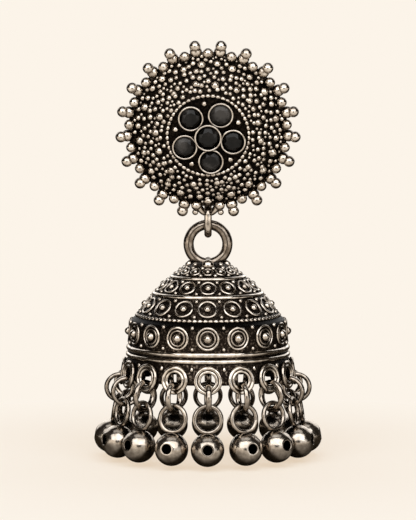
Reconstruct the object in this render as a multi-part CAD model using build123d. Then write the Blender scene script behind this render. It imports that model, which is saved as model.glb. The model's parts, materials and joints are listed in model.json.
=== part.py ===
"""Jhumka earring: a granulated stud with a black stone flower, a link, and a tiered bell with a bead fringe.

The frame, in millimetres: the origin is where the ear post leaves the flat back of the stud, +X is to the
side, +Y points back through the ear lobe and +Z is up. The stud leans forward under the bell's weight, and
the bell hangs plumb.
"""

from build123d import *
import math
import os

# ---------------------------------------------------------------- driving dimensions
GAP = 0.05  # between pieces that lie against each other
HANG_GAP = 0.1  # between two rings that hang in each other

# Stud, drawn face up: its own Z is its thickness, counted from the back of the plate, and its own Y is up.
LEAN_DEG = 12.0  # how far the stud tips forward
PLATE_R, PLATE_T = 10.9, 0.6
FLANGE_R, FLANGE_T = 11.3, 0.75
DOME_FOOT_R, DOME_TOP_R = 10.2, 6.1
DOME_RISE = 3.2
DOME_WALL = 0.8
FLOOR_Z = PLATE_T + GAP  # underside of the domed front
FLANGE_Z = FLOOR_Z + FLANGE_T  # top of the flange
FIELD_Z = FLANGE_Z + DOME_RISE  # flat field inside the rope wire
ROPE_R, ROPE_WIRE_R = 5.75, 0.25

# Ear post, with the pad that joins it to the plate.
POST_R, POST_LENGTH = 0.45, 10.5
PAD_R, PAD_T = 2.0, 0.4

# Rim granules, counted from the bottom: the outermost stand on solder granules, with one between each two.
RIM_COUNT = 21
RIM_GRANULES = {"row_r": 12.4, "ball_r": 0.80, "rise": 0.40}
SOLDER_GRANULES = {"row_r": 11.5, "ball_r": 0.86, "rise": -0.10}
BETWEEN_GRANULES = {"row_r": 11.2, "ball_r": 0.74, "rise": 0.25}
# Over the link there is only one on the dome's foot, and a small one hangs below the edge on each side.
FOOT_GRANULE = {"row_r": 10.4, "ball_r": 0.62, "rise": 0.20}
GATE_GRANULE = {"row_r": 12.25, "ball_r": 0.45, "rise": 0.10}

# Rows of granules on the dome: the row's radius, how many, a granule's radius, and the row's turn in pitches.
DOME_ROWS = [
    {"row_r": 9.75, "count": 24, "ball_r": 0.60, "turn": 0.50},
    {"row_r": 8.98, "count": 46, "ball_r": 0.38, "turn": 0.00},
    {"row_r": 8.20, "count": 42, "ball_r": 0.40, "turn": 0.50},
    {"row_r": 7.35, "count": 15, "ball_r": 0.56, "turn": 0.25},
    {"row_r": 6.50, "count": 34, "ball_r": 0.36, "turn": 0.00},
]
FILL_ROW, FILL_PER_PITCH, FILL_BALL_R = 3, 2, 0.38  # small ones between the medium granules of that row

# Flower of set stones.
PETALS = 5
PETAL_TURN_DEG = 60.5  # direction of the first petal, counted from the stud's own X
PETAL_RING_R = 3.60
SEED_RING_R, SEED_BALL_R, SEED_RISE = 4.65, 0.46, 0.1  # granules between the petals
BEZEL_WALL = 0.30
BEZEL_LIP = 0.965  # the lip's opening, as a share of the stone's radius
PETAL_STONE_R, PETAL_BEZEL_H = 1.55, 1.05
CENTRE_STONE_R, CENTRE_BEZEL_H = 1.68, 1.65
GIRDLE_DEPTH = 0.28  # the stone's girdle lies this share of its radius below the bezel's lip
STONE_CROWN, STONE_BASE = 0.34, 0.36  # heights above and below the girdle, as shares of the radius
STONE_TABLE, STONE_STAR = 0.58, 0.80  # radii of the table's and the stars' corners, as shares
STONE_SIDES = 8

# Eyelet behind the stud's bottom edge, and the long link that hangs in it.
EYELET_R, EYELET_WIRE_R = 1.3, 0.5
EYELET_DROP = 11.7  # from the stud's axis to the eyelet's centre, along the plate
EYELET_BACK = 1.15  # behind the plate
LUG_W, LUG_H = 1.6, 1.8
LINK_WIRE_R = 0.55
LINK_HALF_W, LINK_HOLE_H = 1.42, 3.1  # half its width, to the wire's middle, and the height of its hole

# Bell. Its own heights count from the middle of its top ring.
RING_R, RING_WIRE_R = 2.8, 0.74
SHELL_T = 0.6
CROWN_FLOOR_Z = -3.95  # underside of the crown, which is thick enough to hold the ring's foot
# Corners of the dome's outside, from the crown to the skirt's edge.
DOME_CORNERS = [
    {"name": "crown", "r": 2.30, "z": -2.60},
    {"name": "first ledge", "r": 5.25, "z": -4.75},
    {"name": "second ledge", "r": 7.80, "z": -7.15},
    {"name": "third ledge", "r": 10.25, "z": -10.25},
    {"name": "wall top", "r": 11.20, "z": -10.95},
    {"name": "wall foot", "r": 11.40, "z": -14.85},
    {"name": "skirt top", "r": 11.50, "z": -16.00},
    {"name": "skirt edge", "r": 12.30, "z": -19.10},
]
# Wires round the dome: which corner each lies on, the wire's radius and how far down from the corner.
TRIM_WIRES = [
    {"corner": 1, "wire_r": 0.27, "down": -0.03},
    {"corner": 2, "wire_r": 0.30, "down": -0.03},
    {"corner": 3, "wire_r": 0.30, "down": -0.03},
    {"corner": 5, "wire_r": 0.42, "down": 0.05},
    {"corner": 6, "wire_r": 0.38, "down": -0.15},
]
# Granules round the ring's foot, by their angles from the front: a big one before and behind it, one under
# each side of it and small ones between.
COLLAR_GRANULES = [
    {"angles": [0, 180], "row_r": 2.50, "z": -2.95, "ball_r": 0.90},
    {"angles": [90, 270], "row_r": 2.70, "z": -2.95, "ball_r": 0.58},
    {"angles": [45, 135, 225, 315], "row_r": 2.60, "z": -2.90, "ball_r": 0.36},
]
# Bosses on the tiers, each one or two wire rings round a granule: the corner its tier starts at, the share
# of the way down it, and how far up and down the slope the small granules between them lie.
DOUBLE = [1.06, 1.52]
BOSS_ROWS = [
    {"corner": 0, "count": 14, "rings": [0.66], "wire_r": 0.15, "ball_r": 0.32, "down": 0.58, "reach": 0.80},
    {"corner": 1, "count": 14, "rings": [1.08], "wire_r": 0.17, "ball_r": 0.46, "down": 0.50, "reach": 1.10},
    {"corner": 2, "count": 16, "rings": [1.26], "wire_r": 0.18, "ball_r": 0.50, "down": 0.50, "reach": 1.30},
    {"corner": 4, "count": 16, "rings": DOUBLE, "wire_r": 0.18, "ball_r": 0.64, "down": 0.42, "reach": 1.5},
]
BOSS_RING_RISE = 0.04  # of the wire's middle over the slope
STUDDING_BALL_R = 0.25  # granules above and below, half way between bosses

# Fringe: each drop hangs in a pierced double ring on the skirt.
DROPS = 16
LOOP_Z, LOOP_OUT = -18.4, 12.3  # height and distance from the axis of a loop's middle
LOOP_LEAN_DEG = 8.0
LOOP_WIRES = [{"ring_r": 1.75, "wire_r": 0.30}, {"ring_r": 1.25, "wire_r": 0.25}]
LOOP_HOLE_R = 1.0
LOOP_WEB_T = 0.30
SKIRT_HOLE_R = 1.3
DROP_RING_R, DROP_WIRE_R = 1.88, 0.34
BEAD_R, BEAD_WALL, BEAD_VENT_R = 2.37, 0.35, 0.68
BEAD_SINK = 0.30  # how deep the bead's ring is soldered into it
# How a drop's link and bead hang, in degrees: outwards from plumb, sideways, and turned about their height.
# The rows are used in turn from the front drop round to the back one, on both sides.
DROP_LEANS = [
    {"out": (7.0, 7.0), "side": (0.0, -0.6), "turn": (4.0, 1.0)},
    {"out": (8.0, 8.0), "side": (1.0, 0.5), "turn": (-3.5, 4.0)},
    {"out": (9.0, 8.5), "side": (-1.5, 0.4), "turn": (5.0, -3.0)},
    {"out": (10.0, 9.5), "side": (1.0, -0.8), "turn": (-4.0, 5.0)},
    {"out": (11.0, 10.5), "side": (-0.5, 0.6), "turn": (3.0, -4.0)},
    {"out": (9.0, 9.0), "side": (1.0, 0.0), "turn": (-5.0, 6.0)},
    {"out": (8.0, 9.5), "side": (-1.0, -0.5), "turn": (4.5, -2.0)},
    {"out": (9.0, 8.0), "side": (0.5, 0.8), "turn": (-3.0, -5.0)},
    {"out": (8.0, 8.0), "side": (0.0, 0.5), "turn": (3.5, 2.0)},
]

# ---------------------------------------------------------------- places worked out from the dimensions
STUD = Rot(90 + LEAN_DEG, 0, 0)  # the stud's own frame, from its flat back
LEAN_COS, LEAN_SIN = math.cos(math.radians(LEAN_DEG)), math.sin(math.radians(LEAN_DEG))
BELL_Y = EYELET_BACK * LEAN_COS + (EYELET_DROP + EYELET_R) * LEAN_SIN
EYELET_WIRE_Z = EYELET_BACK * LEAN_SIN - (EYELET_DROP + EYELET_R) * LEAN_COS  # its lowest stretch
LINK_TOP_Z = EYELET_WIRE_Z + EYELET_WIRE_R + HANG_GAP + LINK_WIRE_R  # middle of the link's wire at its top
LINK_FOOT_Z = LINK_TOP_Z - LINK_HOLE_H - 2 * LINK_WIRE_R  # middle of the link's wire at its foot
BELL_Z = LINK_FOOT_Z + LINK_WIRE_R + HANG_GAP + RING_WIRE_R - RING_R
BELL = Pos(0, BELL_Y, BELL_Z)


# ---------------------------------------------------------------- shapes
def ball(radius):
    """A granule whose poles lie along its own Z."""
    return Solid.make_sphere(radius)


def wire_ring(radius, wire_r):
    """A ring of round wire about the Z axis."""
    return Solid.make_torus(radius, wire_r)


def spun(outline):
    """A solid of revolution about Z from a closed outline in the XZ plane."""
    return Solid.revolve(Face(outline), 360, Axis.Z)


def turned(points):
    """A solid of revolution about Z from its (r, z) corners."""
    return spun(Wire.make_polygon([Vector(r, 0, z) for r, z in points], close=True))


def disc(radius, low, high):
    return turned([(0, low), (radius, low), (radius, high), (0, high)])


def inset(points, depth):
    """The (r, z) corners moved in by depth, to the right of the way they run, with mitred corners."""
    moved = []
    for i, (r, z) in enumerate(points):
        before, after = points[max(i - 1, 0)], points[min(i + 1, len(points) - 1)]
        ways = [(r - before[0], z - before[1]), (after[0] - r, after[1] - z)]
        units = [(a / math.hypot(a, b), b / math.hypot(a, b)) for a, b in ways if (a, b) != (0, 0)]
        normals = [(b, -a) for a, b in units]
        nr = sum(n[0] for n in normals) / len(normals)
        nz = sum(n[1] for n in normals) / len(normals)
        scale = depth / (nr * nr + nz * nz)
        moved.append((r + nr * scale, z + nz * scale))
    return moved


def soldered(base, pieces):
    """The base with its pieces as one solid."""
    solids = base.fuse(*pieces).solids()
    if len(solids) != 1:
        raise ValueError(f"a soldered piece came out as {len(solids)} solids")
    return solids[0]


def save(node, place, solid):
    export_step((place * solid).solid(), f"parts/{node}.step")


# ---------------------------------------------------------------- stud
def dome_ball():
    """Height of the middle and radius of the ball whose skin is the stud's dome."""
    low, high = FLANGE_Z, FIELD_Z
    middle = (DOME_FOOT_R**2 + low**2 - DOME_TOP_R**2 - high**2) / (2 * (low - high))
    return middle, math.hypot(DOME_FOOT_R, low - middle)


def dome_arc(inwards, low, high):
    """The dome's slope in the XZ plane between two heights, moved in from its skin."""
    middle, radius = dome_ball()
    heights = [low, (low + high) / 2, high]
    points = [Vector(math.sqrt((radius - inwards) ** 2 - (z - middle) ** 2), 0, z) for z in heights]
    return Edge.make_three_point_arc(*points)


def stud_sheet():
    """The bare front: a flange, a domed slope and a flat field, hollow behind."""
    slope = dome_arc(0, FLANGE_Z, FIELD_Z)
    lining = dome_arc(DOME_WALL, FLOOR_Z, FIELD_Z - DOME_WALL)
    flange = [slope @ 0, Vector(FLANGE_R, 0, FLANGE_Z), Vector(FLANGE_R, 0, FLOOR_Z), lining @ 0]
    field = [lining @ 1, Vector(0, 0, FIELD_Z - DOME_WALL), Vector(0, 0, FIELD_Z), slope @ 1]
    straights = [Wire.make_polygon(points, close=False) for points in (flange, field)]
    return spun(Wire([slope, lining] + straights[0].edges() + straights[1].edges()))


def on_dome(row_r, degrees):
    """A place on the dome's skin with its own Z along the normal."""
    middle, radius = dome_ball()
    lean = math.degrees(math.asin(row_r / radius))
    return Pos(0, 0, middle) * Rot(0, 0, degrees) * Rot(0, lean, 0) * Pos(0, 0, radius)


def on_flange(granules, degrees):
    """A granule on the flange, turned so that its seam lies clear of the ones before and behind it."""
    place = Rot(0, 0, degrees) * Pos(granules["row_r"], 0, FLANGE_Z + granules["rise"])
    return place * Rot(0, 0, 90) * ball(granules["ball_r"])


def rim_granules():
    """The crown of granules round the edge, with no outermost one at the bottom, where the link hangs."""
    pitch = 360 / RIM_COUNT
    pieces = [on_flange(FOOT_GRANULE, -90)]
    for i in range(1, RIM_COUNT):
        pieces.append(on_flange(SOLDER_GRANULES, -90 + pitch * i))
        pieces.append(on_flange(RIM_GRANULES, -90 + pitch * i))
    for i in range(RIM_COUNT):
        pieces.append(on_flange(BETWEEN_GRANULES, -90 + pitch * (i + 0.5)))
    return pieces + [on_flange(GATE_GRANULE, -90 + pitch * side) for side in (-0.5, 0.5)]


def dome_granules():
    """Rows of granules, each half sunk in the dome."""
    pieces = []
    for n, row in enumerate(DOME_ROWS):
        pitch = 360 / row["count"]
        for i in range(row["count"]):
            at = pitch * (i + row["turn"]) - 90
            pieces.append(on_dome(row["row_r"], at) * ball(row["ball_r"]))
            if n == FILL_ROW:
                for k in range(1, FILL_PER_PITCH + 1):
                    between = at + pitch * k / (FILL_PER_PITCH + 1)
                    pieces.append(on_dome(row["row_r"], between) * ball(FILL_BALL_R))
    return pieces


def bezel(stone_r, height):
    """A cup on the flat field, with its lip turned in over the stone."""
    room, outer, lip = stone_r + GAP, stone_r + BEZEL_WALL, BEZEL_LIP * stone_r
    edge = 0.4 * (outer - lip)
    girdle = height - GIRDLE_DEPTH * stone_r
    seat = girdle - STONE_BASE * stone_r - GAP
    foot = -DOME_WALL / 2
    return turned(
        [
            (0, foot),
            (outer, foot),
            (outer, height - edge),
            (outer - edge, height),
            (lip + edge / 2, height),
            (lip, height - edge / 2),
            (room, girdle + GAP),
            (room, seat),
            (0, seat),
        ]
    )


def petal_place(n):
    return Rot(0, 0, PETAL_TURN_DEG - n * 360 / PETALS) * Pos(PETAL_RING_R, 0, FIELD_Z)


def seed_place(n):
    return Rot(0, 0, PETAL_TURN_DEG - (n + 0.5) * 360 / PETALS) * Pos(SEED_RING_R, 0, FIELD_Z + SEED_RISE)


def stud_front():
    """The domed front with its granules, rope wire and bezels."""
    pieces = [Pos(0, 0, FIELD_Z) * bezel(CENTRE_STONE_R, CENTRE_BEZEL_H)]
    pieces += [petal_place(n) * bezel(PETAL_STONE_R, PETAL_BEZEL_H) for n in range(PETALS)]
    pieces += [seed_place(n) * ball(SEED_BALL_R) for n in range(PETALS)]
    pieces.append(Pos(0, 0, FIELD_Z) * wire_ring(ROPE_R, ROPE_WIRE_R))
    return soldered(stud_sheet(), pieces + rim_granules() + dome_granules())


def stud_back():
    """The flat back plate with the eyelet for the hanger link on its lug."""
    plate = disc(PLATE_R, 0, PLATE_T)
    eyelet = Pos(0, -EYELET_DROP, -EYELET_BACK) * wire_ring(EYELET_R, EYELET_WIRE_R)
    lug_d = EYELET_BACK + PLATE_T / 2
    lug = Pos(-LUG_W / 2, EYELET_R - EYELET_DROP, -EYELET_BACK) * Solid.make_box(LUG_W, LUG_H, lug_d)
    return soldered(plate, [eyelet, lug])


def ear_post():
    """The plain ear post, with its pad against the plate and a rounded end."""
    pad = disc(PAD_R, -GAP - PAD_T, -GAP)
    pin = disc(POST_R, -POST_LENGTH, -GAP - PAD_T / 2)
    tip = Pos(0, 0, -POST_LENGTH) * ball(POST_R)
    return soldered(pad, [pin, tip])


def cut_stone(radius):
    """A round stone, its girdle's edge at height 0: a table, 8 stars, 8 kites and 16 girdle facets."""
    half = 180 / STONE_SIDES
    table_r, star_r, crown = STONE_TABLE * radius, STONE_STAR * radius, STONE_CROWN * radius
    # A kite is flat when its side corners lie in the plane through the table's corner and the girdle.
    reach = star_r * math.cos(math.radians(half))
    star_z = crown * (radius - reach) / (radius - table_r)

    def ring(r, z, count, first_deg):
        angles = [math.radians(first_deg + 360 * k / count) for k in range(count)]
        return [Vector(r * math.cos(a), r * math.sin(a), z) for a in angles]

    table = ring(table_r, crown, STONE_SIDES, 0)
    stars = ring(star_r, star_z, STONE_SIDES, half)
    girdle = ring(radius, 0, 2 * STONE_SIDES, 0)
    base = ring(radius, -STONE_BASE * radius, 2 * STONE_SIDES, 0)
    facets = [table, base]
    for k in range(STONE_SIDES):
        after = (k + 1) % STONE_SIDES
        facets.append([table[k], table[after], stars[k]])
        facets.append([table[k], stars[k - 1], girdle[2 * k], stars[k]])
        facets.append([stars[k], girdle[2 * k], girdle[2 * k + 1]])
        facets.append([stars[k], girdle[2 * k + 1], girdle[2 * after]])
    for k in range(2 * STONE_SIDES):
        after = (k + 1) % (2 * STONE_SIDES)
        facets.append([girdle[k], girdle[after], base[after], base[k]])
    return Solid(Shell([Face(Wire.make_polygon(corners, close=True)) for corners in facets]))


def set_stone(stone_r, bezel_h):
    """The stone at its height in a bezel that stands on the field."""
    return Pos(0, 0, bezel_h - GIRDLE_DEPTH * stone_r) * cut_stone(stone_r)


# ---------------------------------------------------------------- hanger link
def hanger_link():
    """A long link that stands in the YZ plane, with round ends."""
    rise = LINK_TOP_Z - LINK_FOOT_Z - 2 * LINK_HALF_W
    outline = SlotCenterToCenter(rise, 2 * LINK_HALF_W, rotation=90).wire()
    route = Pos(0, BELL_Y, (LINK_TOP_Z + LINK_FOOT_Z) / 2) * Rot(0, 90, 0) * Rot(0, 0, 90) * outline
    start = route @ 0
    section = Plane(origin=start, z_dir=route % 0) * Wire.make_circle(LINK_WIRE_R)
    return Solid.sweep(Face(section), route)


# ---------------------------------------------------------------- bell
def corner_points():
    return [(corner["r"], corner["z"]) for corner in DOME_CORNERS]


def dome_shell():
    """The stepped dome and its flared skirt, open below, with a hole behind every loop."""
    outside = corner_points()
    inside = inset(outside, SHELL_T)
    top, under = outside[0][1], CROWN_FLOOR_Z
    shell = turned([(0, top)] + outside + inside[::-1] + [(0, inside[0][1])])
    crown = disc(outside[0][0], under, top)
    hole = Pos(0, 0, -2 * SHELL_T) * Solid.make_cylinder(SKIRT_HOLE_R, 4 * SHELL_T)
    return (shell + crown).solid().cut(*[loop_place(n) * hole for n in range(DROPS)]).solid()


def tier_place(row, degrees):
    """The place of a row's boss on its tier, with its own Z along the normal and its own X down the slope."""
    high, low = DOME_CORNERS[row["corner"]], DOME_CORNERS[row["corner"] + 1]
    r = high["r"] + row["down"] * (low["r"] - high["r"])
    z = high["z"] + row["down"] * (low["z"] - high["z"])
    lean = math.degrees(math.atan2(high["z"] - low["z"], low["r"] - high["r"]))
    return Rot(0, 0, degrees) * Pos(r, 0, z) * Rot(0, lean, 0)


def trim_wires():
    pieces = []
    for wire in TRIM_WIRES:
        corner = DOME_CORNERS[wire["corner"]]
        pieces.append(Pos(0, 0, corner["z"] - wire["down"]) * wire_ring(corner["r"], wire["wire_r"]))
    return pieces


def collar():
    """Granules round the foot of the ring."""
    pieces = []
    for kind in COLLAR_GRANULES:
        granule = Pos(kind["row_r"], 0, kind["z"]) * ball(kind["ball_r"])
        pieces += [Rot(0, 0, angle - 90) * granule for angle in kind["angles"]]
    return pieces


def bosses():
    """Rows of ringed bosses, with small granules above and below, half way between two."""
    pieces = []
    for row in BOSS_ROWS:
        step = 360 / row["count"]
        for i in range(row["count"]):
            place = tier_place(row, step * i - 90)
            raised = place * Pos(0, 0, BOSS_RING_RISE)
            pieces += [raised * wire_ring(r, row["wire_r"]) for r in row["rings"]]
            pieces.append(place * ball(row["ball_r"]))
            between = tier_place(row, step * (i + 0.5) - 90)
            for side in (-1, 1):
                pieces.append(between * Pos(side * row["reach"], 0, 0) * ball(STUDDING_BALL_R))
    return pieces


def drop_turn(n):
    """Direction of a drop about the bell's axis. Drop 0 is at the front."""
    return -90 + n * 360 / DROPS


def loop_place(n):
    """The middle of a loop, with its own Z outwards and its own X down."""
    return Rot(0, 0, drop_turn(n)) * Pos(LOOP_OUT, 0, LOOP_Z) * Rot(0, 90 - LOOP_LEAN_DEG, 0)


def loop(n):
    """Two wire rings, one in the other, on a thin web."""
    place = loop_place(n)
    pieces = [place * wire_ring(wire["ring_r"], wire["wire_r"]) for wire in LOOP_WIRES]
    hole_edge, rim = LOOP_WIRES[1]["ring_r"], LOOP_WIRES[0]["ring_r"]
    half = LOOP_WEB_T / 2
    pieces.append(place * turned([(hole_edge, -half), (rim, -half), (rim, half), (hole_edge, half)]))
    return pieces


def bell():
    """The hollow dome with its ring, wires, bosses and loops."""
    ring = Rot(90, 0, 0) * wire_ring(RING_R, RING_WIRE_R)
    loops = [piece for n in range(DROPS) for piece in loop(n)]
    return soldered(dome_shell(), [ring] + trim_wires() + collar() + bosses() + loops)


# ---------------------------------------------------------------- fringe
def lean_of(n):
    return DROP_LEANS[min(n, DROPS - n)]


def link_place(n):
    """The middle of a drop link's wire at its top, with its own X outwards and its own Z up the link."""
    lean, slant = lean_of(n), math.radians(LOOP_LEAN_DEG)
    wire_z = LOOP_Z - LOOP_HOLE_R * math.cos(slant) + HANG_GAP + DROP_WIRE_R
    wire_out = LOOP_OUT + LOOP_HOLE_R * math.sin(slant)
    plumb = Rot(0, 0, drop_turn(n)) * Pos(wire_out, 0, wire_z)
    return plumb * Rot(0, -lean["out"][0], 0) * Rot(lean["side"][0], 0, 0)


def drop_link(n):
    """A round link that stands nearly edge on to the skirt."""
    place = link_place(n) * Rot(0, 0, lean_of(n)["turn"][0])
    return place * Pos(0, 0, -DROP_RING_R) * Rot(90, 0, 0) * wire_ring(DROP_RING_R, DROP_WIRE_R)


def bead_place(n):
    """The middle of the bead's own ring's wire at its top."""
    (link_out, bead_out), (link_side, bead_side) = lean_of(n)["out"], lean_of(n)["side"]
    reach = 2 * DROP_RING_R - 2 * DROP_WIRE_R - HANG_GAP
    upright = link_place(n) * Pos(0, 0, -reach) * Rot(-link_side, 0, 0) * Rot(0, link_out, 0)
    return upright * Rot(0, -bead_out, 0) * Rot(bead_side, 0, 0) * Rot(0, 0, lean_of(n)["turn"][1])


def bead_drop(n):
    """A hollow bead with a round vent that faces outwards, soldered under its own ring."""
    place = bead_place(n)
    ring = Pos(0, 0, -DROP_RING_R) * Rot(0, 90, 0) * wire_ring(DROP_RING_R, DROP_WIRE_R)
    middle = Pos(0, 0, -2 * DROP_RING_R - DROP_WIRE_R + BEAD_SINK - BEAD_R)
    vent = middle * Rot(0, 90, 0) * Solid.make_cylinder(BEAD_VENT_R, 2 * BEAD_R)
    hollow = middle * ball(BEAD_R - BEAD_WALL)
    shell = (middle * ball(BEAD_R)).cut(hollow, vent).solid()
    return place * soldered(shell, [ring])


# ---------------------------------------------------------------- the earring
def main():
    os.makedirs("parts", exist_ok=True)
    save("stud_front", STUD, stud_front())
    save("stud_back", STUD, stud_back())
    save("ear_post", STUD, ear_post())
    save("centre_stone", STUD * Pos(0, 0, FIELD_Z), set_stone(CENTRE_STONE_R, CENTRE_BEZEL_H))
    for n in range(PETALS):
        save(f"petal_stone_{n + 1}", STUD * petal_place(n), set_stone(PETAL_STONE_R, PETAL_BEZEL_H))
    save("hanger_link", Pos(0, 0, 0), hanger_link())
    save("bell", BELL, bell())
    for n in range(DROPS):
        save(f"drop_link_{n + 1:02d}", BELL, drop_link(n))
        save(f"bead_drop_{n + 1:02d}", BELL, bead_drop(n))


main()
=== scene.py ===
"""Oxidised jhumka earring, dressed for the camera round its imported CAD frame.

Every metal piece replaces its plain solid and keeps that solid's form, with finer grains, beaded wire and wear. The
cut stones show as they are packed. Shapes are worked out in millimetres, as whole numpy arrays, and brought to
metres when a mesh is made.
"""

import json
import math

import bpy
import numpy as np
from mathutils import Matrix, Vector


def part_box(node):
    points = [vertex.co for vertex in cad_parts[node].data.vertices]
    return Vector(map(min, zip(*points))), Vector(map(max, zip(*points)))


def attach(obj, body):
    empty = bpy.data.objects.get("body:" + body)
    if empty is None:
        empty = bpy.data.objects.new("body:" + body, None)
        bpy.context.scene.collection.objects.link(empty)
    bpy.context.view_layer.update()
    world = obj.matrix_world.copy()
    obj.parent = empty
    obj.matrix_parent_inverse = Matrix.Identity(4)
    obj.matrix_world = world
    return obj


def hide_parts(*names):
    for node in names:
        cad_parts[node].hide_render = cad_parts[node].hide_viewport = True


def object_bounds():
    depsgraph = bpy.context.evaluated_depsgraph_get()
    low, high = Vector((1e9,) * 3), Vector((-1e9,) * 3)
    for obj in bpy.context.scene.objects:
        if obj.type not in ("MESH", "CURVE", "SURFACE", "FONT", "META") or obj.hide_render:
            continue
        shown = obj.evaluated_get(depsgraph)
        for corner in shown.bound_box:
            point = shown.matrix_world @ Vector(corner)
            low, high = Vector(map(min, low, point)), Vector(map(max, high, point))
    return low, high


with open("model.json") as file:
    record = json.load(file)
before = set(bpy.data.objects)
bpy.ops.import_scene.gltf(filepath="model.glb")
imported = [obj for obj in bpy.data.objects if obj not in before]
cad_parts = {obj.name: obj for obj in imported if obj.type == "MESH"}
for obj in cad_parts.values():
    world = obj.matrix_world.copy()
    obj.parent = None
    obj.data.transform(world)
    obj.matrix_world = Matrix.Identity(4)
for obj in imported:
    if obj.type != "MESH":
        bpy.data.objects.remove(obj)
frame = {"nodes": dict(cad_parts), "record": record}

CAD_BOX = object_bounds()
MM = 0.001
RNG = np.random.default_rng(21)

# ---------------------------------------------------------------- sizes in millimetres, most of them the solids' own
GAP, HANG_GAP = 0.05, 0.1
STUD_FLOOR, FLANGE_R, FLANGE_T, FLANGE_BEVEL = 0.65, 11.3, 0.75, 0.15
DOME_FOOT_R, DOME_TOP_R, DOME_RISE, DOME_WALL = 10.2, 6.1, 3.2, 0.8
FLANGE_Z = STUD_FLOOR + FLANGE_T
FIELD_Z = FLANGE_Z + DOME_RISE
ROPE_R, ROPE_WIRE_R, ROPE_BEADS = 5.75, 0.32, 50
RIM_COUNT = 21
RIM_GRANULES = {"row_r": 12.4, "ball_r": 0.80, "rise": 0.40}
SOLDER_GRANULES = {"row_r": 11.5, "ball_r": 0.86, "rise": -0.10}
BETWEEN_GRANULES = {"row_r": 11.2, "ball_r": 0.74, "rise": 0.25}
FOOT_GRANULE = {"row_r": 10.4, "ball_r": 0.62, "rise": 0.20}
GATE_GRANULE = {"row_r": 12.25, "ball_r": 0.45, "rise": 0.10}
DOME_ROWS = [
    {"row_r": 9.75, "count": 24, "ball_r": 0.60, "turn": 0.50},
    {"row_r": 8.98, "count": 46, "ball_r": 0.38, "turn": 0.00},
    {"row_r": 8.20, "count": 42, "ball_r": 0.40, "turn": 0.50},
    {"row_r": 7.35, "count": 15, "ball_r": 0.56, "turn": 0.25},
    {"row_r": 7.35, "count": 15, "ball_r": 0.38, "turn": 0.58},
    {"row_r": 7.35, "count": 15, "ball_r": 0.38, "turn": 0.92},
    {"row_r": 6.50, "count": 34, "ball_r": 0.36, "turn": 0.00},
]
# How far a granule of a row is laid off by hand: a share of the row's pitch, so far outwards and a share of its size.
LAID_OFF = {"pitch": 0.24, "out": 0.24, "size": 0.16}
GRAIN_R, GRAIN_FIELD = (0.20, 0.46), (6.4, 10.8)  # fine grains laid between the rows, and where they lie
GRAIN_TRIES, GRAIN_RISE = 7000, 0.08  # the rise is over the flange
GRAIN_ROOM = (0.82, 1.00)  # least distance between two at the head and foot, as a share of the sum of their radii
PETALS, PETAL_TURN_DEG, PETAL_RING_R = 5, 60.5, 3.60
SEED_RING_R, SEED_BALL_R, SEED_RISE = 4.65, 0.46, 0.1
BEZEL_WALL, BEZEL_LIP, BEZEL_SUNK, GIRDLE_DEPTH = 0.30, 0.965, 0.2, 0.28
PETAL_STONE_R, PETAL_BEZEL_H = 1.55, 1.05
CENTRE_STONE_R, CENTRE_BEZEL_H = 1.68, 1.65
PLATE_R, PLATE_T, PAD_R, PAD_T = 10.9, 0.6, 2.0, 0.4
POST_R, POST_LENGTH = 0.45, 10.5
EYELET_R, EYELET_WIRE_R, EYELET_DROP, EYELET_BACK = 1.3, 0.5, 11.7, 1.15
LUG_W, LUG_H = 1.6, 1.8
LINK_WIRE_R, LINK_HALF_W = 0.55, 1.42
RING_R, RING_WIRE_R = 2.8, 0.74
SHELL_T, CROWN_FLOOR_Z = 0.6, -3.95
# The hollow's radius at the crown's top and foot, and the foot's height over the inner corner below the crown.
CROWN_TOP_R, CROWN_FOOT_R, CROWN_FOOT_RISE = 2.2, 2.3, 1.2
DOME_CORNERS = [(2.30, -2.60), (5.25, -4.75), (7.80, -7.15), (10.25, -10.25)]
DOME_CORNERS += [(11.20, -10.95), (11.40, -14.85), (11.50, -16.00), (12.30, -19.10)]
LEDGE_IN, LEDGE_OUT = 3, 4  # which corners bound the narrow ledge over the wall
TRIM_WIRES = [
    {"corner": 1, "wire_r": 0.27, "down": -0.03, "beads": 0},
    {"corner": 2, "wire_r": 0.30, "down": -0.03, "beads": 0},
    {"corner": 3, "wire_r": 0.31, "down": -0.03, "beads": 84},
    {"corner": 5, "wire_r": 0.42, "down": 0.05, "beads": 0},
    {"corner": 6, "wire_r": 0.38, "down": -0.15, "beads": 0},
]
COLLAR_GRANULES = [
    {"angles": [0, 180], "row_r": 2.50, "z": -2.95, "ball_r": 0.90},
    {"angles": [90, 270], "row_r": 2.70, "z": -2.95, "ball_r": 0.58},
    {"angles": [45, 135, 225, 315], "row_r": 2.60, "z": -2.90, "ball_r": 0.36},
]
BOSS_ROWS = [
    {"corner": 0, "count": 14, "rings": [0.66], "wire_r": 0.15, "ball_r": 0.32, "down": 0.58, "reach": 0.80},
    {"corner": 1, "count": 14, "rings": [1.08], "wire_r": 0.17, "ball_r": 0.46, "down": 0.50, "reach": 1.10},
    {"corner": 2, "count": 16, "rings": [1.26], "wire_r": 0.18, "ball_r": 0.50, "down": 0.50, "reach": 1.30},
    {"corner": 4, "count": 16, "rings": [1.06, 1.52], "wire_r": 0.18, "ball_r": 0.64, "down": 0.42, "reach": 1.50},
]
BOSS_OFF = 0.02  # how far a boss lies off its place and size, as a share of them
BOSS_RING_RISE, BOSS_BALL_RISE, STUDDING_RISE = 0.10, 0.12, 0.06  # over the slope
INNER_WIRE = 0.8  # thickness and wear of a ring's wire inside another ring, as a share of the outer one's
STUDDING_BALL_R, BUD_BALL_R, BUD_LENGTH, BUD_Z = 0.30, 0.30, 1.5, -16.98
DROPS = 16
LOOP_Z, LOOP_OUT, LOOP_LEAN_DEG, LOOP_HOLE_R = -18.4, 12.3, 8.0, 1.0
LOOP_WIRES = [{"ring_r": 1.75, "wire_r": 0.30}, {"ring_r": 1.25, "wire_r": 0.25}]
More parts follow.
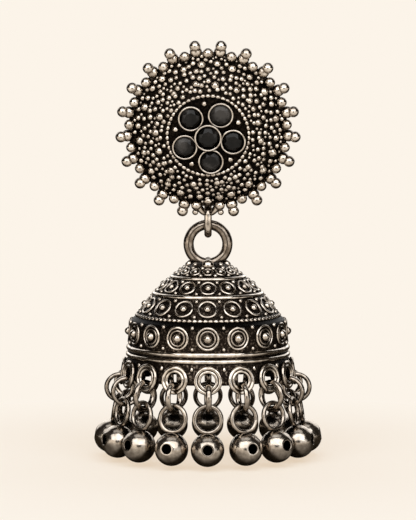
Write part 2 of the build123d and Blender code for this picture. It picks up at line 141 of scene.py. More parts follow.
LOOP_WEB_T = 0.30
SKIRT_HOLE_R, SKIRT_HOLE_REACH = 1.3, 1.1  # the reach is how far the hole cuts the foot each way
DROP_RING_R, DROP_WIRE_R = 1.88, 0.34
LINK_BREADTH = 1.25  # how much broader than thick the drop links' wire looks, flattened in bending
BEAD_R, BEAD_WALL, BEAD_VENT_R, BEAD_SINK = 2.37, 0.35, 0.68, 0.30
# For the link and the bead of each drop, from the front one round to the back one, in degrees: how far it leans
# outwards and sideways, and how far it is turned about its own z. The two sides are alike.
DROP_LEANS = [
    {"out": (7.0, 7.0), "side": (0.0, -0.6), "turn": (4.0, 1.0)},
    {"out": (8.0, 8.0), "side": (1.0, 0.5), "turn": (-3.5, 4.0)},
    {"out": (9.0, 8.5), "side": (-1.5, 0.4), "turn": (5.0, -3.0)},
    {"out": (10.0, 9.5), "side": (1.0, -0.8), "turn": (-4.0, 5.0)},
    {"out": (11.0, 10.5), "side": (-0.5, 0.6), "turn": (3.0, -4.0)},
    {"out": (9.0, 9.0), "side": (1.0, 0.0), "turn": (-5.0, 6.0)},
    {"out": (8.0, 9.5), "side": (-1.0, -0.5), "turn": (4.5, -2.0)},
    {"out": (9.0, 8.0), "side": (0.5, 0.8), "turn": (-3.0, -5.0)},
    {"out": (8.0, 8.0), "side": (0.0, 0.5), "turn": (3.5, 2.0)},
]


# ---------------------------------------------------------------- places
def move(x=0.0, y=0.0, z=0.0):
    """A place shifted by (x, y, z), as a 4 by 4 matrix."""
    place = np.eye(4)
    place[:3, 3] = x, y, z
    return place


def turn(axis, degrees):
    """A place turned by the right-hand rule about its own x, y or z axis."""
    a, b = {"x": (1, 2), "y": (2, 0), "z": (0, 1)}[axis]
    angle = math.radians(degrees)
    place = np.eye(4)
    place[a, a] = place[b, b] = math.cos(angle)
    place[b, a] = math.sin(angle)
    place[a, b] = -math.sin(angle)
    return place


def in_mm(node):
    """A CAD node's lowest and highest corner, in millimetres."""
    low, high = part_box(node)
    return np.array(low) / MM, np.array(high) / MM


EAR_AXIS = next(m["axis"] for m in frame["record"]["mounts"] if m["name"] == "ear_hole")
LEAN_DEG = math.degrees(math.atan2(EAR_AXIS[2], EAR_AXIS[1]))
STUD = turn("x", 90 + LEAN_DEG)
BELL_LOW, BELL_HIGH = in_mm("bell")
BELL_Z = BELL_HIGH[2] - RING_R - RING_WIRE_R
BELL_Y = (BELL_LOW[1] + BELL_HIGH[1]) / 2
BELL = move(0, BELL_Y, BELL_Z)


# ---------------------------------------------------------------- shapes: points, faces and wear
# A shape is (points, quads, tris, wear). Wear runs from 0, black in a recess, to 1, rubbed bright. Below 0 the
# ground loses its shining specks too, and at -1 it has none.
GROUND_WEAR, STUD_GROUND_WEAR, PACKED_BLACK = 0.10, -0.7, -1.0
BEAD_WEAR, CHAIN_WEAR, TOP_RING_WEAR, HANGER_WEAR = 0.88, 0.78, 0.64, 0.85
PLATE_WEAR, EYELET_WEAR, LUG_WEAR, WEB_WEAR = 0.55, 0.85, 0.35, 0.05


def lattice(points, wear, wrap_u=True, wrap_v=False):
    """A sheet of quads over an (nu, nv, 3) array of points: quad (i, j) joins (i, j), (i+1, j), (i+1, j+1) and
    (i, j+1), going round to 0 at the end of a way that wraps."""
    nu, nv = points.shape[:2]
    i, j = np.meshgrid(np.arange(nu if wrap_u else nu - 1), np.arange(nv if wrap_v else nv - 1), indexing="ij")
    after_i, after_j = (i + 1) % nu, (j + 1) % nv
    quads = np.stack([i * nv + j, after_i * nv + j, after_i * nv + after_j, i * nv + after_j], -1)
    wear = np.broadcast_to(wear, (nu, nv)).reshape(-1)
    return points.reshape(-1, 3), quads.reshape(-1, 4), np.zeros((0, 3), int), wear.astype(float)


def closed_sheet(grid, first, last, wear):
    """A sheet round the z axis over a (sides, nv, 3) grid, closed at either end by a fan of triangles from a point
    on the axis at height first or last. Wear is one value for the first end, each row and the last end."""
    sides, nv = grid.shape[:2]
    points, quads, _, body_wear = lattice(grid, wear[1:-1])
    ends = np.array([[0, 0, first], [0, 0, last]])
    here, after = np.arange(sides), (np.arange(sides) + 1) % sides
    start = np.stack([np.full(sides, len(points)), after * nv, here * nv], -1)
    stop = np.stack([np.full(sides, len(points) + 1), here * nv + nv - 1, after * nv + nv - 1], -1)
    return np.vstack([points, ends]), quads, np.vstack([start, stop]), np.append(body_wear, wear[[0, -1]])


def turned(profile, sides):
    """The grid of a profile of (r, z) points turned about z: (r cos a, r sin a, z)."""
    a = np.linspace(0, 2 * math.pi, sides, endpoint=False)[:, None]
    r, z = profile[:, 0][None], profile[:, 1][None]
    return np.stack([r * np.cos(a), r * np.sin(a), np.broadcast_to(z, (sides, len(profile)))], -1)


def closed_lathe(profile, sides, wear):
    """A profile whose two ends lie on the axis, turned about z."""
    return closed_sheet(turned(profile[1:-1], sides), profile[0, 1], profile[-1, 1], wear)


def open_lathe(profile, sides, wear):
    """A closed outline, clear of the axis, turned about z."""
    return lattice(turned(profile, sides), wear, True, True)


def granule(sides=14, rings=9, ground=-0.8, crest=0.1, both=False):
    """A unit ball turned from a half circle (sin t, -cos t), worn towards its top: wear rises smoothly from 0 at
    height ground to 1 at height crest. With both, its underside is worn as its top is."""
    t = np.linspace(0, math.pi, rings)
    profile = np.stack([np.sin(t), -np.cos(t)], -1)
    height = np.abs(profile[:, 1]) if both else profile[:, 1]
    return closed_lathe(profile, sides, smooth(height, ground, crest))


def smooth(value, low, high):
    """0 below low and 1 above high, with an S-shaped rise 3s^2 - 2s^3 between."""
    s = np.clip((value - low) / (high - low), 0, 1)
    return s * s * (3 - 2 * s)


def ring(ring_r, wire_r, sides=48, round_sides=12, wear=1.0, ground=None, beads=0, broad=1.0):
    """Wire bent to a ring about z: ((R + r cos b) cos a, (R + r cos b) sin a, k r sin b), where k is 1 for round
    wire and more for broad. With ground, wear falls to 0 at that height on the wire. With beads, the wire swells to
    r(a) = r (0.45 + 0.55 |sin(n a / 2)|^0.7), and wear falls to 0 in its grooves."""
    a = np.linspace(0, 2 * math.pi, sides, endpoint=False)[:, None]
    b = np.linspace(0, 2 * math.pi, round_sides, endpoint=False)[None]
    swell = 0.45 + 0.55 * np.abs(np.sin(beads * a / 2)) ** 0.7 if beads else 1.0
    r = wire_r * swell * np.ones_like(a)
    out = ring_r + r * np.cos(b)
    points = np.stack([out * np.cos(a), out * np.sin(a), broad * r * np.sin(b)], -1)
    if ground is None:
        return lattice(points, wear, True, True)
    worn = smooth(r * np.sin(b) / wire_r, ground, 0.8) * wear * smooth(np.atleast_1d(swell), 0.35, 0.75)
    return lattice(points, worn, True, True)


def placed(shape, place):
    """The shape moved to a place: p' = R p + t."""
    points, quads, tris, wear = shape
    return points @ place[:3, :3].T + place[:3, 3], quads, tris, wear


def copies(shape, places, sizes):
    """One shape at many places and sizes at once: p' = R (s p) + t for each place."""
    points, quads, tris, wear = shape
    places, sizes = np.array(places), np.asarray(sizes, float)
    moved = np.einsum("nij,vj->nvi", places[:, :3, :3], points) * sizes[:, None, None] + places[:, None, :3, 3]
    steps = (np.arange(len(places)) * len(points))[:, None, None]
    return (
        moved.reshape(-1, 3),
        (quads[None] + steps).reshape(-1, 4),
        (tris[None] + steps).reshape(-1, 3),
        np.tile(wear, len(places)),
    )


def joined(shapes):
    """Several shapes as one, with each one's faces counted on from the last."""
    starts = np.cumsum([0] + [len(shape[0]) for shape in shapes[:-1]])
    return (
        np.vstack([shape[0] for shape in shapes]),
        np.vstack([shape[1] + start for shape, start in zip(shapes, starts)]),
        np.vstack([shape[2] + start for shape, start in zip(shapes, starts)]),
        np.concatenate([shape[3] for shape in shapes]),
    )


def make_piece(name, shape, material, body, node):
    """A smooth mesh object in metres with its wear as a point attribute, riding on a body in a CAD node's place."""
    points, quads, tris, wear = shape
    mesh = bpy.data.meshes.new(name)
    mesh.vertices.add(len(points))
    mesh.vertices.foreach_set("co", (points * MM).astype(np.float32).ravel())
    mesh.loops.add(quads.size + tris.size)
    mesh.loops.foreach_set("vertex_index", np.concatenate([quads.ravel(), tris.ravel()]).astype(np.int32))
    starts = np.concatenate([np.arange(len(quads)) * 4, quads.size + np.arange(len(tris)) * 3])
    mesh.polygons.add(len(starts))
    mesh.polygons.foreach_set("loop_start", starts.astype(np.int32))
    mesh.update(calc_edges=True)
    mesh.polygons.foreach_set("use_smooth", np.ones(len(starts), bool))
    mesh.attributes.new("wear", "FLOAT", "POINT").data.foreach_set("value", wear.astype(np.float32))
    mesh.materials.append(material)
    mesh.validate()
    piece = bpy.data.objects.new(name, mesh)
    bpy.context.scene.collection.objects.link(piece)
    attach(piece, body)
    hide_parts(node)


# ---------------------------------------------------------------- materials
def colour(hexa):
    """An sRGB hex colour as linear RGBA."""
    srgb = np.array([int(hexa[i : i + 2], 16) / 255 for i in (1, 3, 5)])
    linear = np.where(srgb <= 0.04045, srgb / 12.92, ((srgb + 0.055) / 1.055) ** 2.4)
    return (*linear.tolist(), 1.0)


def add_node(tree, kind, inputs=None, **settings):
    """A node of a kind with its settings, and its inputs, by name or number, set to a value or linked to a socket."""
    node = tree.nodes.new(kind)
    for name, value in settings.items():
        setattr(node, name, value)
    for key, value in (inputs or {}).items():
        if isinstance(value, bpy.types.NodeSocket):
            tree.links.new(value, node.inputs[key])
        else:
            node.inputs[key].default_value = value
    return node


def ramp(tree, factor, stops):
    """A colour ramp through (position, hex colour) stops."""
    node = add_node(tree, "ShaderNodeValToRGB", {0: factor})
    elements = node.color_ramp.elements
    elements[0].position, elements[0].color = stops[0][0], colour(stops[0][1])
    elements[1].position, elements[1].color = stops[-1][0], colour(stops[-1][1])
    for position, hexa in stops[1:-1]:
        elements.new(position).color = colour(hexa)
    return node.outputs[0]


def blank_material(name):
    """A new material and its node tree, emptied."""
    material = bpy.data.materials.new(name)
    material.use_nodes = True
    material.node_tree.nodes.clear()
    return material, material.node_tree


def oxidised_silver(name, finest=0.10):
    """Nickel silver, cast and wire-worked, dipped in liver of sulphur and rubbed back. The sulphide stays black
    where a cloth doesn't reach, browns at its edge, and the crests are bright with fine scuffs. Their roughness
    comes down to finest."""
    material, tree = blank_material(name)
    coordinates = add_node(tree, "ShaderNodeTexCoord").outputs
    wear = add_node(tree, "ShaderNodeAttribute", attribute_name="wear").outputs["Fac"]
    # A cloth doesn't reach into gaps under 0.6 mm.
    open_sky = add_node(tree, "ShaderNodeAmbientOcclusion", {"Distance": 0.6 * MM}, samples=8).outputs["AO"]
    cloth = {"Value": open_sky, "From Min": 0.30, "From Max": 0.80}
    reached = add_node(tree, "ShaderNodeMapRange", cloth).outputs[0]
    # Undersides are painted darker, as shade under things, down to 0.6 where they face straight down. They also keep
    # more tarnish, as a cloth reaches them least.
    up = add_node(tree, "ShaderNodeSeparateXYZ", {0: coordinates["Normal"]}).outputs["Z"]
    side = {"Value": up, "From Min": -1.0, "From Max": -0.3, "To Min": 0.6, "To Max": 1.0}
    underside_painted_shade = add_node(tree, "ShaderNodeMapRange", side).outputs[0]
    # Blotches of tarnish about 0.8 mm across.
    blotches = {"Vector": coordinates["Object"], "Scale": 1 / (0.8 * MM), "Detail": 4.0}
    blotch = add_node(tree, "ShaderNodeTexNoise", blotches).outputs["Fac"]
    patch = {"Value": blotch, "From Min": 0.3, "From Max": 0.7, "To Min": 0.70, "To Max": 1.08}
    uneven = add_node(tree, "ShaderNodeMapRange", patch).outputs[0]
    rubbed_and_underside_shade = add_node(tree, "ShaderNodeMath", {0: wear, 1: reached}, operation="MULTIPLY").outputs[0]
    rubbed_and_underside_shade = add_node(tree, "ShaderNodeMath", {0: rubbed_and_underside_shade, 1: underside_painted_shade}, operation="MULTIPLY").outputs[0]
    # The crests' brightness carries the painted underside shade too.
    crests = add_node(tree, "ShaderNodeMath", {0: rubbed_and_underside_shade, 1: uneven}, operation="MULTIPLY", use_clamp=True).outputs[0]
    # Cast grain and scuffs about 0.3 mm across, as coarse as it takes to show. Its high spots shine as specks, which
    # fade where wear is below 0.
    grains = {"Vector": coordinates["Object"], "Scale": 1 / (0.3 * MM), "Detail": 3.0}
    grain = add_node(tree, "ShaderNodeTexNoise", grains).outputs["Fac"]
    speck = {"Value": grain, "From Min": 0.42, "From Max": 0.80, "To Min": 0.0, "To Max": 0.60}
    specks = add_node(tree, "ShaderNodeMapRange", speck).outputs[0]
    bare = add_node(tree, "ShaderNodeMapRange", {"Value": wear, "From Min": -1.0, "From Max": 0.0}).outputs[0]
    specks = add_node(tree, "ShaderNodeMath", {0: specks, 1: bare}, operation="MULTIPLY").outputs[0]
    shine_and_underside_shade = add_node(tree, "ShaderNodeMath", {0: crests, 1: specks}, operation="MAXIMUM").outputs[0]
    tarnish = [(0.0, "#0d0a08"), (0.2, "#2e261f"), (0.5, "#75695d"), (0.85, "#c3b8ab"), (1.0, "#e4dbcf")]
    base = ramp(tree, shine_and_underside_shade, tarnish)
    dull = {"Value": shine_and_underside_shade, "From Min": 0.1, "From Max": 0.65, "To Min": 0.58, "To Max": finest}
    rough = add_node(tree, "ShaderNodeMapRange", dull).outputs[0]
    bump = add_node(tree, "ShaderNodeBump", {"Height": grain, "Strength": 0.12, "Distance": 0.03 * MM}).outputs[0]
    finish = {"Base Color": base, "Metallic": 1.0, "Roughness": rough, "Normal": bump}
    metal = add_node(tree, "ShaderNodeBsdfPrincipled", finish)
    add_node(tree, "ShaderNodeOutputMaterial", {"Surface": metal.outputs[0]})
    return material


def black_stone():
    """Black onyx or glass, cut and polished: a near-black body with a sharp clear gloss."""
    material, tree = blank_material("polished_black_onyx")
    place = add_node(tree, "ShaderNodeTexCoord").outputs["Object"]
    # Polishing haze in patches about 1.2 mm across.
    patches = {"Vector": place, "Scale": 1 / (1.2 * MM), "Detail": 3.0}
    haze = add_node(tree, "ShaderNodeTexNoise", patches).outputs["Fac"]
    # The stones come from different rough, so their grey drifts over about 5 mm.
    drift = add_node(tree, "ShaderNodeTexNoise", {"Vector": place, "Scale": 1 / (5 * MM), "Detail": 0.0}).outputs["Fac"]
    lift = {"Value": drift, "From Min": 0.35, "From Max": 0.65, "To Max": 0.6}
    lighter = add_node(tree, "ShaderNodeMapRange", lift).outputs[0]
    grey = add_node(tree, "ShaderNodeMath", {0: haze, 1: lighter}, operation="ADD").outputs[0]
    base = ramp(tree, grey, [(0.45, "#040403"), (0.75, "#1b1816"), (1.0, "#4a4642")])
    rough = add_node(tree, "ShaderNodeMapRange", {"Value": haze, "To Min": 0.06, "To Max": 0.20}).outputs[0]
    finish = {"Base Color": base, "Roughness": rough, "IOR": 1.54, "Specular IOR Level": 0.20}
    gloss = add_node(tree, "ShaderNodeBsdfPrincipled", finish)
    add_node(tree, "ShaderNodeOutputMaterial", {"Surface": gloss.outputs[0]})
    return material


def drawn_steel():
    """Stainless steel wire, drawn and cut: even grey with fine lines along the post."""
    material, tree = blank_material("drawn_stainless_steel")
    place = add_node(tree, "ShaderNodeTexCoord").outputs["Object"]
    # Lines 0.08 mm wide and twenty times as long, along the post.
    along = add_node(tree, "ShaderNodeMapping", {"Vector": place, "Scale": (1.0, 0.05, 1.0)}).outputs[0]
    lines = add_node(tree, "ShaderNodeTexNoise", {"Vector": along, "Scale": 1 / (0.08 * MM), "Detail": 2.0})
    base = ramp(tree, lines.outputs["Fac"], [(0.3, "#a29d95"), (0.7, "#c9c4bb")])
    metal = add_node(tree, "ShaderNodeBsdfPrincipled", {"Base Color": base, "Metallic": 1.0, "Roughness": 0.28})
    add_node(tree, "ShaderNodeOutputMaterial", {"Surface": metal.outputs[0]})
    return material


SILVER = oxidised_silver("oxidised_nickel_silver")
# Stamped hollow beads are tumbled in shot, which leaves them softer in their shine than wire.
TUMBLED_SILVER = oxidised_silver("tumbled_nickel_silver", 0.19)
ONYX = black_stone()
STEEL = drawn_steel()


# ---------------------------------------------------------------- stud
def dome_ball():
    """Height of the middle and radius of the ball whose skin is the stud's dome."""
    low, high = FLANGE_Z, FIELD_Z
    middle = (DOME_FOOT_R**2 + low**2 - DOME_TOP_R**2 - high**2) / (2 * (low - high))
    return middle, math.hypot(DOME_FOOT_R, low - middle)


def arc_at(inwards, low, high, count):
    """(r, z) points of the dome's slope from height low to high: r = sqrt((R - d)^2 - (z - m)^2)."""
    middle, radius = dome_ball()
    z = np.linspace(low, high, count)
    return np.stack([np.sqrt((radius - inwards) ** 2 - (z - middle) ** 2), z], -1)


def stud_sheet():
    """The bare front, turned from its outline: field, dome, flange, edge and hollow back. All of it is black
    ground but for the flange's edge."""
    outside = arc_at(0, FIELD_Z, FLANGE_Z, 14)
    inside = arc_at(DOME_WALL, STUD_FLOOR, FIELD_Z - DOME_WALL, 8)
    inner, floor, top = FLANGE_R - FLANGE_BEVEL, STUD_FLOOR + FLANGE_BEVEL, FLANGE_Z - FLANGE_BEVEL
    edge = [(inner, FLANGE_Z), (FLANGE_R, top), (FLANGE_R, floor), (inner, STUD_FLOOR)]
    profile = np.vstack([[(0, FIELD_Z)], outside, edge, inside, [(0, FIELD_Z - DOME_WALL)]])
    wear = np.full(len(profile), STUD_GROUND_WEAR)
    start = 1 + len(outside)
    wear[start : start + len(edge)] = [0.3, 0.6, 0.6, 0.3]
    return closed_lathe(profile[::-1], 128, wear[::-1])


def on_dome(row_r, degrees):
    """A place on the dome's skin with its own z along the normal."""
    middle, radius = dome_ball()
    lean = math.degrees(math.asin(row_r / radius))
    return move(z=middle) @ turn("z", degrees) @ turn("y", lean) @ move(z=radius)


def on_flange(granules, degrees):
    """The place of one of these granules on the flange."""
    return turn("z", degrees) @ move(granules["row_r"], 0, FLANGE_Z + granules["rise"])


def rim_granules():
    """The crown of granules round the edge, rubbed in front and behind and darker where they meet. The outermost
    stand on wider solder granules. Over the link there are none of these, but one on the dome's foot and a small one
    on either side."""
    pitch = 360 / RIM_COUNT
    rows = [(RIM_GRANULES, range(1, RIM_COUNT), 0), (SOLDER_GRANULES, range(1, RIM_COUNT), 0)]
    rows += [(BETWEEN_GRANULES, range(RIM_COUNT), 0.5), (FOOT_GRANULE, [0], 0), (GATE_GRANULE, [-1, 0], 0.5)]
    ball = granule(20, 15, ground=-0.25, crest=0.5, both=True)
    shapes = []
    for kind, steps, shift in rows:
        places = [on_flange(kind, pitch * (i + shift) - 90) for i in steps]
        shapes.append(copies(ball, places, [kind["ball_r"]] * len(places)))
    return shapes


def on_front(row_r, degrees):
    """A place on the dome, or beyond its foot on the flange."""
    if row_r < DOME_FOOT_R - 0.05:
        return on_dome(row_r, degrees)
    return turn("z", degrees) @ move(row_r, 0, FLANGE_Z + GRAIN_RISE)


def fine_grains(spots, sizes):
    """Grains dropped at random on the dome, the largest first, each kept where it has room beside those before.
    The room grows from head to foot: head + (foot - head) (1 - sin a) / 2."""
    spots, sizes = list(spots), list(sizes)
    laid = len(spots)
    low, high = GRAIN_FIELD
    row_r = np.sqrt(RNG.uniform(low**2, high**2, GRAIN_TRIES))
    degrees, ball_r = RNG.uniform(0, 360, GRAIN_TRIES), np.sort(RNG.uniform(*GRAIN_R, GRAIN_TRIES))[::-1]
    xy = np.stack([row_r * np.cos(np.radians(degrees)), row_r * np.sin(np.radians(degrees))], -1)
    head, foot = GRAIN_ROOM
    room = head + (foot - head) * (1 - np.sin(np.radians(degrees))) / 2
    places = []
    for i in range(GRAIN_TRIES):
        gaps = np.linalg.norm(np.array(spots) - xy[i], axis=1)
        if (gaps > room[i] * (np.array(sizes) + ball_r[i])).all():
            spots.append(xy[i])
            sizes.append(ball_r[i])
            places.append(on_front(row_r[i], degrees[i]))
    return places, sizes[laid:]


def dome_granules():
    """Rows of granules half sunk in the dome, each a little off its place and size, as laid by hand, with fine
    grains in what is left of the ground."""
    places, sizes = [], []
    for row in DOME_ROWS:
        pitch = 360 / row["count"]
        shift = RNG.uniform(-1, 1, (row["count"], 3))
        for i in range(row["count"]):
            at = pitch * (i + row["turn"] + LAID_OFF["pitch"] * shift[i, 0]) - 90
            places.append(on_dome(row["row_r"] + LAID_OFF["out"] * shift[i, 1], at))
            sizes.append(row["ball_r"] * (1 + LAID_OFF["size"] * shift[i, 2]))
    rim = [(SOLDER_GRANULES, 0), (BETWEEN_GRANULES, 0.5)]
    around = [(kind, -90 + 360 / RIM_COUNT * (i + shift)) for kind, shift in rim for i in range(RIM_COUNT)]
    spots = [place[:2, 3] for place in places] + [on_flange(kind, at)[:2, 3] for kind, at in around]
    more_places, more_sizes = fine_grains(spots, sizes + [kind["ball_r"] for kind, _ in around])
    return copies(granule(12, 8), places + more_places, sizes + more_sizes)


def bezel(stone_r, height):
    """A cup turned from its outline: a wall that spreads at its foot, a rounded lip over the stone's edge and the
    seat inside. Its lip is rubbed bright."""
    room, outer, lip = stone_r + GAP, stone_r + BEZEL_WALL - 0.04, BEZEL_LIP * stone_r + 0.05
    girdle = height - GIRDLE_DEPTH * stone_r
    half = (outer - lip) / 2
    t = np.linspace(0, math.pi, 7)
    crest = np.stack([outer - half + half * np.cos(t), height - half + half * np.sin(t)], -1)
    wall = [(outer + 0.08, -BEZEL_SUNK), (outer + 0.04, 0.05), (outer, 0.25 * height)]
    inside = [(room, girdle + GAP), (room, -BEZEL_SUNK)]
    profile = np.vstack([wall, crest, inside])
    wear = np.concatenate([[0.0, 0.02, 0.06], [0.4, 0.9, 1, 1, 1, 1, 0.5], [0.05, 0.0]])
    return open_lathe(profile, 56, wear)


def petal_place(n):
    """The place of a petal's bezel on the stud's flat field."""
    return turn("z", PETAL_TURN_DEG - n * 360 / PETALS) @ move(PETAL_RING_R, 0, FIELD_Z)


def dress_stud_front():
    """The granulated front: sheet, granules, seeds between the petals, beaded wire ring and six bezels."""
    seeds = [turn("z", PETAL_TURN_DEG - (n + 0.5) * 360 / PETALS) for n in range(PETALS)]
    seeds = [place @ move(SEED_RING_R, 0, FIELD_Z + SEED_RISE) for place in seeds]
    shapes = [stud_sheet(), dome_granules()] + rim_granules()
    shapes.append(copies(granule(18, 11), seeds, [SEED_BALL_R] * PETALS))
    rope = ring(ROPE_R, ROPE_WIRE_R, sides=8 * ROPE_BEADS, round_sides=10, ground=-0.5, beads=ROPE_BEADS)
    shapes.append(placed(rope, move(z=FIELD_Z)))
    shapes.append(placed(bezel(CENTRE_STONE_R, CENTRE_BEZEL_H), move(z=FIELD_Z)))
    shapes += [placed(bezel(PETAL_STONE_R, PETAL_BEZEL_H), petal_place(n)) for n in range(PETALS)]
    make_piece("granulated_stud_front", placed(joined(shapes), STUD), SILVER, "stud", "stud_front")


def rounded(corners, radius, steps=4):
    """A polyline of (r, z) corners with each inner corner rounded by a quadratic curve between the points that lie
    radius before and after it: p = (1-s)^2 a + 2 s (1-s) c + s^2 b."""
    corners = np.array(corners, float)
    s = np.linspace(0, 1, steps)[:, None]
    runs = [corners[:1]]
    for before, corner, after in zip(corners, corners[1:], corners[2:]):
        a = corner + radius * (before - corner) / np.linalg.norm(before - corner)
        b = corner + radius * (after - corner) / np.linalg.norm(after - corner)
        runs.append((1 - s) ** 2 * a + 2 * s * (1 - s) * corner + s**2 * b)
    return np.vstack(runs + [corners[-1:]])


def lug_block():
    """The lug between plate and eyelet: a rounded oblong |x/a|^8 + |y/b|^8 = 1 carried through the plate, with its
    far edge eased."""
    sides = 48
    a = np.linspace(0, 2 * math.pi, sides, endpoint=False)
    scale = (np.abs(np.cos(a)) ** 8 + np.abs(np.sin(a)) ** 8) ** (-1 / 8)
    x, y = LUG_W / 2 * scale * np.cos(a), LUG_H / 2 * scale * np.sin(a)
    z = np.array([-EYELET_BACK, -EYELET_BACK + 0.12, PLATE_T / 2])
    share = np.array([0.86, 1.0, 1.0])
    grid = np.stack([x[:, None] * share, y[:, None] * share, np.broadcast_to(z, (sides, len(z)))], -1)
    block = closed_sheet(grid, -EYELET_BACK, PLATE_T / 2, np.full(len(z) + 2, LUG_WEAR))
    return placed(block, move(0, EYELET_R - EYELET_DROP + LUG_H / 2, 0))


def dress_stud_back():
    """The flat back plate with its lug and eyelet, less rubbed than the front."""
    outline = rounded([(0, 0), (PLATE_R, 0), (PLATE_R, PLATE_T), (0, PLATE_T)], 0.12)
    plate = closed_lathe(outline, 128, np.full(len(outline), PLATE_WEAR))
    eyelet = ring(EYELET_R, EYELET_WIRE_R, sides=56, round_sides=16, wear=EYELET_WEAR)
    eyelet = placed(eyelet, move(0, -EYELET_DROP, -EYELET_BACK))
    back = joined([plate, eyelet, lug_block()])
    make_piece("back_plate_with_eyelet", placed(back, STUD), SILVER, "stud", "stud_back")


def dress_ear_post():
    """The post with its pad, turned from one outline with a round tip."""
    t = np.linspace(math.pi, math.pi / 2, 8)
    tip = np.stack([POST_R * np.sin(t), -POST_LENGTH + POST_R * np.cos(t)], -1)
    pad = rounded([(POST_R, -POST_LENGTH + 0.1), (POST_R, -GAP - PAD_T), (PAD_R, -GAP - PAD_T), (PAD_R, -GAP)], 0.1)
    outline = np.vstack([tip, pad, [(0, -GAP)]])
    post = closed_lathe(outline, 40, np.ones(len(outline)))
    make_piece("ear_post_wire", placed(post, STUD), STEEL, "stud", "ear_post")


# ---------------------------------------------------------------- hanger link
def long_link(half_w, height, wire_r, sides=20, round_sides=14):
    """Round wire round a slot in the YZ plane, whose ends are half circles: the middle line is
    (half_w cos a, h + half_w sin a) above and below by h, and the wire is a circle across it."""
    rise = height / 2 - half_w
    a = np.concatenate([np.linspace(0, math.pi, sides), np.linspace(math.pi, 2 * math.pi, sides)])
    lift = np.concatenate([np.full(sides, rise), np.full(sides, -rise)])
    b = np.linspace(0, 2 * math.pi, round_sides, endpoint=False)[None]
    out = half_w + wire_r * np.cos(b)
    y, z = out * np.cos(a)[:, None], out * np.sin(a)[:, None] + lift[:, None]
    points = np.stack([np.broadcast_to(wire_r * np.sin(b), y.shape), y, z], -1)
    return lattice(points, HANGER_WEAR, True, True)


def dress_hanger_link():
    """The link, as high as its solid and in its place."""
    low, high = in_mm("hanger_link")
    height = high[2] - low[2] - 2 * LINK_WIRE_R
    place = move(0, (low[1] + high[1]) / 2, (low[2] + high[2]) / 2)
    link = placed(long_link(LINK_HALF_W, height, LINK_WIRE_R), place)
    make_piece("hanger_link_wire", link, SILVER, "hanger", "hanger_link")


# ---------------------------------------------------------------- bell
def inset(points, depth):
    """The (r, z) corners moved in by depth, to the right of the way they run, with mitred corners."""
    ways = np.diff(points, axis=0)
    units = ways / np.linalg.norm(ways, axis=1, keepdims=True)
    normals = np.stack([units[:, 1], -units[:, 0]], -1)
    mean = (np.vstack([normals[:1], normals]) + np.vstack([normals, normals[-1:]])) / 2
    return points + depth * mean / (mean**2).sum(1, keepdims=True)


def loop_place(n):
    """The middle of a loop, with its own z outwards and its own x down."""
    return turn("z", -90 + n * 360 / DROPS) @ move(LOOP_OUT, 0, LOOP_Z) @ turn("y", 90 - LOOP_LEAN_DEG)


def bell_shell():
    """The stepped dome and skirt, turned from its outline. The skirt's foot rises round the hole behind each loop:
    z = hole middle + sqrt(r^2 - x^2), where x is the distance along the skirt from the hole's middle."""
    outside = np.array(DOME_CORNERS)
    inside = inset(outside, SHELL_T)
    down = [np.linspace(outside[i], outside[i + 1], 5, endpoint=False) for i in range(len(outside) - 2)]
    down = np.vstack(down + [np.linspace(outside[-2], outside[-1], 9)])
    up = np.vstack([np.linspace(inside[-1], inside[-2], 9), inside[-3:0:-1]])
    crown = [(CROWN_FOOT_R, inside[1, 1] + CROWN_FOOT_RISE), (CROWN_TOP_R, CROWN_FLOOR_Z)]
    profile = np.vstack([down, up, crown])
    sides, pitch = 384, 2 * math.pi / DROPS
    a = np.linspace(0, 2 * math.pi, sides, endpoint=False)[:, None]
    r, z = (np.broadcast_to(profile[:, k], (sides, len(profile))) for k in (0, 1))
    x = ((a + math.pi / 2 + pitch / 2) % pitch - pitch / 2) * LOOP_OUT
    top, foot = outside[-2, 1], outside[-1, 1]
    arch = LOOP_Z + np.sqrt(np.clip(SKIRT_HOLE_R**2 - x**2, 0, None))
    edge = np.where(np.abs(x) < SKIRT_HOLE_REACH, arch, foot)
    skirt_z = top - np.clip((top - z) / (top - foot), 0, 1) * (top - edge)
    slope = (outside[-1, 0] - outside[-2, 0]) / (top - foot)
    r = np.where(z < top, r - (skirt_z - z) * slope, r)
    z = np.where(z < top, skirt_z, z)
    grid = np.stack([r * np.cos(a), r * np.sin(a), z], -1)
    # The narrow ledge over the wall is packed with black.
    ledge = (profile[:, 0] > outside[LEDGE_IN, 0] - 0.01) & (profile[:, 1] > outside[LEDGE_OUT, 1] - 0.01)
    wear = np.pad(np.where(ledge, PACKED_BLACK, GROUND_WEAR)[::-1], 1, "edge")
    return closed_sheet(grid[:, ::-1], CROWN_FLOOR_Z, outside[0, 1], wear)


def tier_place(row, degrees, rise=0.0):
    """The place of a row's boss on its tier, with its own z along the normal and its own x down the slope."""
    high, low = DOME_CORNERS[row["corner"]], DOME_CORNERS[row["corner"] + 1]
    r = high[0] + row["down"] * (low[0] - high[0])
    z = high[1] + row["down"] * (low[1] - high[1])
    lean = math.degrees(math.atan2(high[1] - low[1], low[0] - high[0]))
    return turn("z", degrees) @ move(r, 0, z) @ turn("y", lean) @ move(z=rise)


